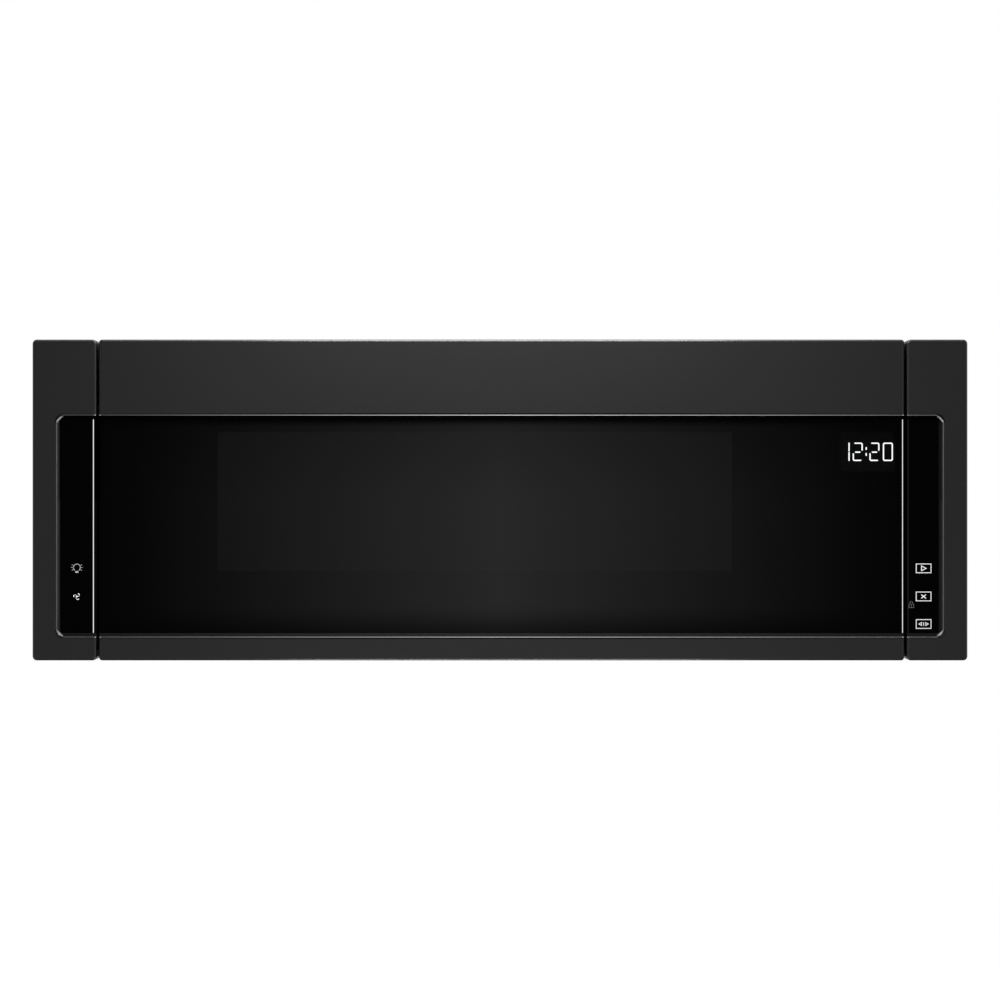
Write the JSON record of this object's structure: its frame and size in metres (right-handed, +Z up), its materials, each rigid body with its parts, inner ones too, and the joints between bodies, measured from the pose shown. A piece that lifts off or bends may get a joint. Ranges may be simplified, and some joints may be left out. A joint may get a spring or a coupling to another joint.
{
  "type": "over-the-range microwave oven",
  "caption": "Low-profile over-the-range microwave oven with side-hinged glass door, touch-key columns, turntable, and a built-in cooktop hood with grease filters, blower and top grille.",
  "frame": {"origin": "middle of the back face, on the wall plane", "axes": "+X to the right seen from the front, +Y into the wall, +Z up"},
  "size_m": [0.759, 0.467, 0.2606],
  "materials": {
    "case_paint": "fine textured dark paint on steel sheet",
    "zinc_steel": "zinc-coated steel sheet",
    "cavity_enamel": "pale grey enamel",
    "fascia_metal": "dark satin coated metal",
    "black_glass": "tinted glass with a dark printed border",
    "clear_glass": "clear tempered glass",
    "black_plastic": "moulded black plastic",
    "white_plastic": "moulded pale nylon",
    "mica": "mica sheet",
    "rubber": "moulded black rubber",
    "circuit_board": "glass-fibre circuit board",
    "dark_steel": "black painted steel",
    "aluminium": "bare aluminium",
    "charcoal": "charcoal granules in a frame",
    "motor_steel": "plain steel"
  },
  "bodies": {
    "case": {"outer_wrapper": "case_paint", "base_pan": "case_paint", "back_plate": "zinc_steel", "front_plate": "zinc_steel", "case_screws": "zinc_steel", "cord_grommet": "rubber", "exhaust_cover": "case_paint", "cavity_wrap": "cavity_enamel", "cavity_pan": "cavity_enamel", "cavity_lamp": "zinc_steel", "waveguide_cover": "mica", "turntable_motor": "motor_steel", "left_column": "fascia_metal", "left_column_glass": "black_glass", "right_column": "fascia_metal", "right_column_glass": "black_glass", "touch_boards": "circuit_board", "upper_hinge": "zinc_steel", "lower_hinge": "zinc_steel", "interlock_bracket": "zinc_steel", "interlock_switches": "black_plastic", "release_solenoid": "black_plastic", "vent_grille": "black_plastic", "plenum_duct": "zinc_steel", "charcoal_filter": "charcoal", "cooktop_lights": "zinc_steel", "light_lenses": "clear_glass", "blower_housings": "zinc_steel", "blower_motor": "motor_steel", "waveguide": "zinc_steel", "magnetron": "aluminium", "fan_shroud": "zinc_steel", "fan_motor": "motor_steel", "transformer": "motor_steel", "capacitor": "aluminium", "control_board": "circuit_board"},
    "door": {"door_frame": "fascia_metal", "door_glass": "black_glass", "choke_frame": "dark_steel", "window_screen": "dark_steel", "inner_pane": "clear_glass", "door_liner": "black_plastic", "display_module": "black_plastic", "door_touch_board": "circuit_board", "hinge_bushes": "white_plastic", "latch_spring": "motor_steel"},
    "latch": {"latch_bar": "white_plastic"},
    "release": {"release_slider": "white_plastic"},
    "turntable": {"turntable": "clear_glass", "coupler": "white_plastic"},
    "roller_ring": {"roller_ring": "white_plastic"},
    "roller_1": {"roller_1": "white_plastic"},
    "roller_2": {"roller_2": "white_plastic"},
    "roller_3": {"roller_3": "white_plastic"},
    "blower": {"blower_wheels": "aluminium", "blower_shaft": "motor_steel"},
    "cooling_fan": {"fan_blade": "black_plastic"},
    "left_filter": {"left_filter": "aluminium"},
    "right_filter": {"right_filter": "aluminium"}
  },
  "joints": [
    {"name": "door_swing", "type": "hinge", "parent": "case", "child": "door", "pos_m": [-0.3125, -0.4604, 0], "axis": [0, 0, -1], "range_deg": [0, 105]},
    {"name": "latch_slide", "type": "slide", "parent": "door", "child": "latch", "axis": [0, 0, 1], "range_m": [-0.0045, 0], "deforming": ["latch_spring"]},
    {"name": "release_slide", "type": "slide", "parent": "case", "child": "release", "axis": [0, 0, 1], "range_m": [-0.0045, 0]},
    {"name": "turntable_spin", "type": "hinge", "parent": "case", "child": "turntable", "pos_m": [-0.0205, -0.251, -0.0754], "axis": [0, 0, 1], "continuous": true},
    {"name": "roller_ring_spin", "type": "hinge", "parent": "case", "child": "roller_ring", "pos_m": [-0.0205, -0.251, -0.0837], "axis": [0, 0, 1], "continuous": true},
    {"name": "roller_1_spin", "type": "hinge", "parent": "roller_ring", "child": "roller_1", "pos_m": [-0.0205, -0.156, -0.0837], "axis": [0, 1, 0], "continuous": true},
    {"name": "roller_2_spin", "type": "hinge", "parent": "roller_ring", "child": "roller_2", "pos_m": [-0.10277, -0.2985, -0.0837], "axis": [-0.866, -0.5, 0], "continuous": true},
    {"name": "roller_3_spin", "type": "hinge", "parent": "roller_ring", "child": "roller_3", "pos_m": [0.06177, -0.2985, -0.0837], "axis": [0.866, -0.5, 0], "continuous": true},
    {"name": "blower_spin", "type": "hinge", "parent": "case", "child": "blower", "pos_m": [0, -0.043, 0.083], "axis": [1, 0, 0], "continuous": true},
    {"name": "cooling_fan_spin", "type": "hinge", "parent": "case", "child": "cooling_fan", "pos_m": [0.315, -0.128, 0.024], "axis": [0, 1, 0], "continuous": true},
    {"name": "left_filter_tilt", "type": "hinge", "parent": "case", "child": "left_filter", "pos_m": [-0.15, -0.058, -0.12825], "axis": [1, 0, 0], "range_deg": [0, 60]},
    {"name": "right_filter_tilt", "type": "hinge", "parent": "case", "child": "right_filter", "pos_m": [0.15, -0.058, -0.12825], "axis": [1, 0, 0], "range_deg": [0, 60]}
  ],
  "couplings": [
    {"joint": "latch_slide", "follows": "release_slide", "ratio": 1},
    {"joint": "roller_ring_spin", "follows": "turntable_spin", "ratio": 0.5},
    {"joint": "roller_1_spin", "follows": "turntable_spin", "ratio": -5.9375},
    {"joint": "roller_2_spin", "follows": "turntable_spin", "ratio": -5.9375},
    {"joint": "roller_3_spin", "follows": "turntable_spin", "ratio": -5.9375}
  ]
}
